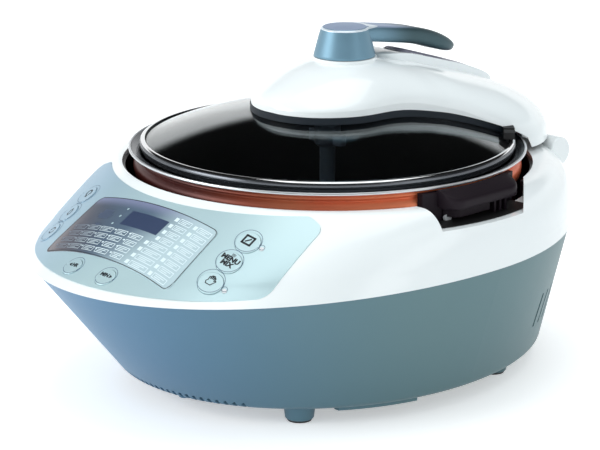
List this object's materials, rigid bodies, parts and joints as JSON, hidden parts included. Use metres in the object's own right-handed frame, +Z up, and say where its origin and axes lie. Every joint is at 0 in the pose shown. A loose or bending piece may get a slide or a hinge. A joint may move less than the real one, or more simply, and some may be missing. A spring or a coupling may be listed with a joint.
{
  "type": "countertop multicooker",
  "caption": "Oval countertop multicooker: sloping control panel, lift-out bowl with side handles and stirrer, and a hinged glass lid with a turning lever handle.",
  "frame": {"origin": "middle of the housing's footprint, on the bench under the feet", "axes": "+Z up; the control panel faces -Y and the lid hinges at +Y; +X is to the right for a cook who faces the panel"},
  "size_m": [0.344, 0.427, 0.2478],
  "materials": {
    "white_shell": "gloss",
    "grey_shell": "satin",
    "plain_grey": "matte",
    "rubber_grey": "matte",
    "silver_fascia": "metallic satin",
    "window_film": "gloss film",
    "display_navy": "gloss",
    "clear_button": "gloss",
    "light_amber": "gloss",
    "board_green": "matte",
    "black_plastic": "satin",
    "bright_metal": "brushed",
    "mirror_sheet": "bright",
    "motor_metal": "plated",
    "copper_bowl": "satin metallic",
    "aubergine_handle": "satin",
    "screw_chrome": "bright",
    "clear_glass": "clear",
    "rim_chrome": "bright",
    "slate_seal": "satin",
    "lever_metallic": "metallic satin",
    "ridge_violet": "satin",
    "heater_steel": "dull"
  },
  "bodies": {
    "housing": {"base_plate": "plain_grey", "base_screws": "screw_chrome", "bowl": "copper_bowl", "bowl_handle_left": "aubergine_handle", "bowl_handle_right": "aubergine_handle", "bowl_thermostat": "bright_metal", "button_switches": "black_plastic", "control_fascia": "silver_fascia", "display_board": "board_green", "display_window": "window_film", "fan_frame": "black_plastic", "foot_pads": "rubber_grey", "front_left_foot": "grey_shell", "front_right_foot": "grey_shell", "front_stub": "grey_shell", "handle_screws": "screw_chrome", "heater_reflector": "mirror_sheet", "hinge_bracket": "bright_metal", "hinge_caps": "white_shell", "hinge_pin": "bright_metal", "indicator_lights": "light_amber", "lcd_display": "display_navy", "left_button_board": "board_green", "lower_heater": "heater_steel", "lower_shell": "grey_shell", "mains_inlet": "black_plastic", "power_board": "board_green", "rear_left_foot": "grey_shell", "rear_right_foot": "grey_shell", "right_button_board": "board_green", "stirrer_gearbox": "black_plastic", "stirrer_motor": "motor_metal", "upper_shell": "white_shell", "well_liner": "mirror_sheet"},
    "lid": {"glass_lid": "clear_glass", "glass_rim": "rim_chrome", "lid_cover": "white_shell", "cover_base": "slate_seal", "lid_clips": "black_plastic", "hinge_arm": "bright_metal", "upper_heater": "heater_steel", "upper_reflector": "mirror_sheet", "heater_guard": "heater_steel", "ridge_inlay": "ridge_violet"},
    "lever": {"lid_lever": "lever_metallic", "lock_cam": "black_plastic"},
    "stirrer": {"drive_shaft": "bright_metal", "stirring_paddle": "black_plastic", "paddle_knob": "black_plastic"},
    "fan": {"fan_rotor": "black_plastic"},
    "start_button": {"start_button": "clear_button"},
    "menu_button": {"menu_button": "clear_button"},
    "manual_button": {"manual_button": "clear_button"},
    "light_button": {"light_button": "clear_button"},
    "heat_button": {"heat_button": "clear_button"},
    "mix_button": {"mix_button": "clear_button"},
    "hour_button": {"hour_button": "clear_button"},
    "minute_button": {"minute_button": "clear_button"}
  },
  "joints": [
    {"name": "lid_hinge", "type": "hinge", "parent": "housing", "child": "lid", "pos_m": [0, 0.1905, 0.144], "axis": [-1, 0, 0], "range_deg": [0, 75]},
    {"name": "lid_handle_turn", "type": "hinge", "parent": "lid", "child": "lever", "pos_m": [0, 0.0445, 0.2], "axis": [0, 0, 1], "range_deg": [0, 90]},
    {"name": "stirrer_spin", "type": "hinge", "parent": "housing", "child": "stirrer", "pos_m": [0, 0.0275, 0.06], "axis": [0, 0, 1], "continuous": true},
    {"name": "fan_spin", "type": "hinge", "parent": "housing", "child": "fan", "pos_m": [0, -0.0845, 0.02], "axis": [0, 0, 1], "continuous": true},
    {"name": "start_button_press", "type": "slide", "parent": "housing", "child": "start_button", "axis": [-0.2944, 0.493, -0.8187], "range_m": [0, 0.0008], "stiffness_N_per_m": 400},
    {"name": "menu_button_press", "type": "slide", "parent": "housing", "child": "menu_button", "axis": [-0.3218, 0.5005, -0.8037], "range_m": [0, 0.0008], "stiffness_N_per_m": 400},
    {"name": "manual_button_press", "type": "slide", "parent": "housing", "child": "manual_button", "axis": [-0.3497, 0.5033, -0.7902], "range_m": [0, 0.0008], "stiffness_N_per_m": 400},
    {"name": "light_button_press", "type": "slide", "parent": "housing", "child": "light_button", "axis": [0.2944, 0.493, -0.8187], "range_m": [0, 0.0008], "stiffness_N_per_m": 400},
    {"name": "heat_button_press", "type": "slide", "parent": "housing", "child": "heat_button", "axis": [0.3218, 0.5005, -0.8037], "range_m": [0, 0.0008], "stiffness_N_per_m": 400},
    {"name": "mix_button_press", "type": "slide", "parent": "housing", "child": "mix_button", "axis": [0.3497, 0.5033, -0.7902], "range_m": [0, 0.0008], "stiffness_N_per_m": 400},
    {"name": "hour_button_press", "type": "slide", "parent": "housing", "child": "hour_button", "axis": [0.068, 0.4945, -0.8665], "range_m": [0, 0.0008], "stiffness_N_per_m": 400},
    {"name": "minute_button_press", "type": "slide", "parent": "housing", "child": "minute_button", "axis": [-0.0587, 0.4942, -0.8674], "range_m": [0, 0.0008], "stiffness_N_per_m": 400}
  ]
}
